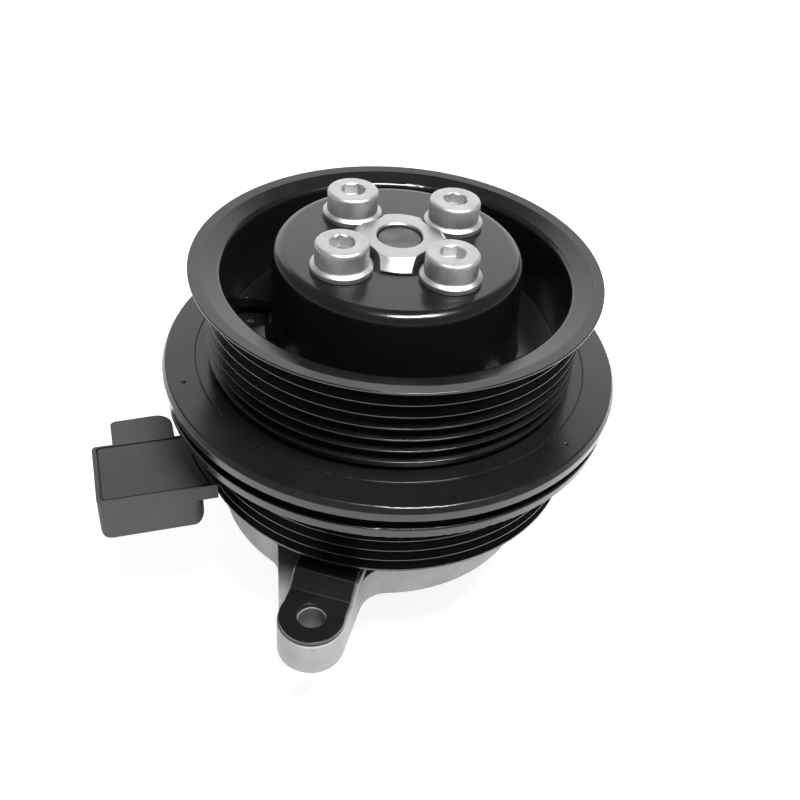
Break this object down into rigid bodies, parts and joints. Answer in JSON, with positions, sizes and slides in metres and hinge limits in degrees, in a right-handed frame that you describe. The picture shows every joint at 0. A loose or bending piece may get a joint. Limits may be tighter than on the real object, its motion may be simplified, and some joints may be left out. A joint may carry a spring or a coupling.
{
  "type": "electromagnetic clutch",
  "caption": "Coolant pump with an electromagnetic clutch: a screwed-on ribbed front pulley drives a sprung armature that couples to a second ribbed rotor pulley over a fixed coil.",
  "frame": {"origin": "on the shaft axis in the plane of the housing's mounting face", "axes": "+Z along the shaft towards the front pulley, -Y side carries the mounting ear seen in front, connector towards -X"},
  "size_m": [0.1474, 0.1355, 0.1124],
  "materials": {
    "black_paint": "satin black coating",
    "zinc": "bright zinc plate",
    "machined_steel": "fine turned steel",
    "spring_steel": "blued spring steel",
    "bearing_steel": "ground steel",
    "cast_aluminium": "blasted casting",
    "dark_plastic": "fine moulded texture",
    "bobbin_plastic": "moulded",
    "impeller_plastic": "glass-filled moulding",
    "cage_plastic": "moulded polyamide",
    "rubber": "smooth",
    "copper": "enamelled copper",
    "brass": "tinned brass",
    "resin": "cast resin",
    "carbon": "lapped carbon",
    "ceramic": "lapped ceramic",
    "wire_cover": "extruded"
  },
  "bodies": {
    "housing": {"pump_housing": "cast_aluminium", "rotor_bearing_inner_ring": "bearing_steel", "snout_circlip": "spring_steel", "shaft_bearing_sleeve": "bearing_steel", "shaft_bearing_seals": "rubber", "coil_plate": "black_paint", "coil_plate_screws": "zinc", "coil_core": "machined_steel", "coil_bobbin": "bobbin_plastic", "coil_winding": "copper", "coil_potting": "resin", "seal_cup": "zinc", "seal_bellows": "rubber", "seal_spring": "spring_steel", "seal_carbon_ring": "carbon", "housing_seal_ring": "rubber", "connector_housing": "dark_plastic", "connector_lid": "dark_plastic", "connector_terminals": "brass", "connector_seal": "rubber", "lead_wires": "wire_cover"},
    "drive": {"front_pulley": "black_paint", "pulley_screws": "zinc", "screw_washers": "zinc", "drive_hub": "machined_steel", "pump_shaft": "machined_steel", "leaf_springs": "spring_steel", "spring_pulley_rivets": "zinc", "impeller": "impeller_plastic", "seal_mating_ring": "ceramic"},
    "armature": {"armature_carrier": "black_paint", "friction_plate": "machined_steel", "friction_rivets": "zinc", "spring_armature_rivets": "black_paint"},
    "rotor": {"rotor_pulley": "black_paint", "rotor_circlip": "spring_steel", "rotor_bearing_outer_ring": "bearing_steel", "rotor_bearing_seals": "rubber"},
    "rotor_cage": {"rotor_bearing_balls": "bearing_steel", "rotor_bearing_cages": "cage_plastic"},
    "shaft_cage": {"shaft_bearing_balls": "bearing_steel", "shaft_bearing_cages": "cage_plastic"}
  },
  "joints": [
    {"name": "drive_spin", "type": "hinge", "parent": "housing", "child": "drive", "pos_m": [0, 0, 0], "axis": [0, 0, 1], "continuous": true},
    {"name": "rotor_spin", "type": "hinge", "parent": "housing", "child": "rotor", "pos_m": [0, 0, 0], "axis": [0, 0, 1], "continuous": true},
    {"name": "armature_pull", "type": "slide", "parent": "drive", "child": "armature", "axis": [0, 0, -1], "range_m": [0, 0.00048], "stiffness_N_per_m": 20000, "springref_m": -0.0004, "deforming": ["leaf_springs"]},
    {"name": "rotor_cage_spin", "type": "hinge", "parent": "housing", "child": "rotor_cage", "pos_m": [0, 0, 0], "axis": [0, 0, 1], "continuous": true},
    {"name": "shaft_cage_spin", "type": "hinge", "parent": "housing", "child": "shaft_cage", "pos_m": [0, 0, 0], "axis": [0, 0, 1], "continuous": true}
  ],
  "couplings": [
    {"joint": "rotor_cage_spin", "follows": "rotor_spin", "ratio": 0.5586},
    {"joint": "shaft_cage_spin", "follows": "drive_spin", "ratio": 0.3861}
  ]
}
